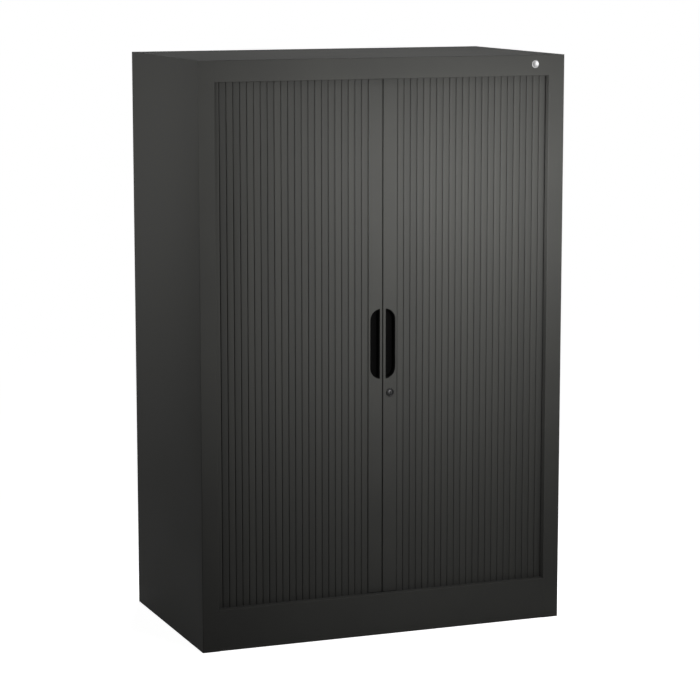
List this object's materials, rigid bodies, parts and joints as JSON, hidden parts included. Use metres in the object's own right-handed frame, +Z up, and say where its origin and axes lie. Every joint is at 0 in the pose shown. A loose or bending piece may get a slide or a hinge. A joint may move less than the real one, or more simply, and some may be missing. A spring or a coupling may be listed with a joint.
{
  "type": "tambour door cabinet",
  "caption": "Sheet steel office cupboard with slatted tambour doors that slide round into its sides, recessed pulls, cam lock and adjustable shelves.",
  "frame": {"origin": "on the floor, under the middle of the cabinet's width and depth", "axes": "+Z up; the doors face -Y, the back panel faces +Y; +X is to the right for someone who stands in front of the doors"},
  "size_m": [0.8, 0.45, 1.2],
  "materials": {
    "graphite_powder_coat": "fine-textured satin powder coat, graphite grey",
    "graphite_slat_plastic": "extruded slat plastic, coloured to match the steel, satin",
    "track_plastic": "black extruded track and moulded glides, smooth from running",
    "cup_plastic": "black moulded cup pull, fine satin grain",
    "zinc_plated_steel": "bright zinc plate on pressed steel",
    "lock_metal": "satin black chrome on die-cast zinc",
    "badge_metal": "plain satin aluminium blank, no mark"
  },
  "bodies": {
    "cabinet": {"back_panel": "graphite_powder_coat", "top_panel": "graphite_powder_coat", "left_side_panel": "graphite_powder_coat", "right_side_panel": "graphite_powder_coat", "front_plinth": "graphite_powder_coat", "base_pan": "graphite_powder_coat", "ceiling_pan": "graphite_powder_coat", "inner_floor": "graphite_powder_coat", "inner_ceiling": "graphite_powder_coat", "left_inner_liner": "graphite_powder_coat", "right_inner_liner": "graphite_powder_coat", "lower_shelf": "graphite_powder_coat", "upper_shelf": "graphite_powder_coat", "lower_shelf_left_front_clip": "zinc_plated_steel", "lower_shelf_left_rear_clip": "zinc_plated_steel", "lower_shelf_right_front_clip": "zinc_plated_steel", "lower_shelf_right_rear_clip": "zinc_plated_steel", "upper_shelf_left_front_clip": "zinc_plated_steel", "upper_shelf_left_rear_clip": "zinc_plated_steel", "upper_shelf_right_front_clip": "zinc_plated_steel", "upper_shelf_right_rear_clip": "zinc_plated_steel", "badge_blank": "badge_metal", "left_bottom_track": "track_plastic", "right_bottom_track": "track_plastic", "left_top_track": "track_plastic", "right_top_track": "track_plastic", "left_curtain_front": "graphite_slat_plastic", "right_curtain_front": "graphite_slat_plastic", "left_curtain_corner": "graphite_slat_plastic", "right_curtain_corner": "graphite_slat_plastic"},
    "left_door": {"left_lead_post": "graphite_powder_coat", "left_handle_cup": "cup_plastic", "left_bottom_glide": "track_plastic", "left_top_glide": "track_plastic", "lock_strike": "zinc_plated_steel"},
    "right_door": {"right_lead_post": "graphite_powder_coat", "right_handle_cup": "cup_plastic", "right_bottom_glide": "track_plastic", "right_top_glide": "track_plastic", "lock_housing": "lock_metal", "lock_nut": "zinc_plated_steel"},
    "left_tail": {"left_curtain_tail": "graphite_slat_plastic"},
    "right_tail": {"right_curtain_tail": "graphite_slat_plastic"},
    "lock": {"lock_plug": "lock_metal", "lock_hook": "zinc_plated_steel", "lock_hook_screw": "zinc_plated_steel"}
  },
  "joints": [
    {"name": "left_door_slide", "type": "slide", "parent": "cabinet", "child": "left_door", "axis": [-1, 0, 0], "range_m": [0, 0.328], "deforming": ["left_curtain_front"]},
    {"name": "right_door_slide", "type": "slide", "parent": "cabinet", "child": "right_door", "axis": [1, 0, 0], "range_m": [0, 0.328], "deforming": ["right_curtain_front"]},
    {"name": "left_tail_slide", "type": "slide", "parent": "cabinet", "child": "left_tail", "axis": [0, 1, 0], "range_m": [0, 0.328]},
    {"name": "right_tail_slide", "type": "slide", "parent": "cabinet", "child": "right_tail", "axis": [0, 1, 0], "range_m": [0, 0.328]},
    {"name": "lock_turn", "type": "hinge", "parent": "right_door", "child": "lock", "pos_m": [0.0163, -0.2026, 0.5105], "axis": [0, 1, 0], "range_deg": [0, 90]}
  ],
  "couplings": [
    {"joint": "left_tail_slide", "follows": "left_door_slide", "ratio": 1},
    {"joint": "right_tail_slide", "follows": "right_door_slide", "ratio": 1}
  ]
}
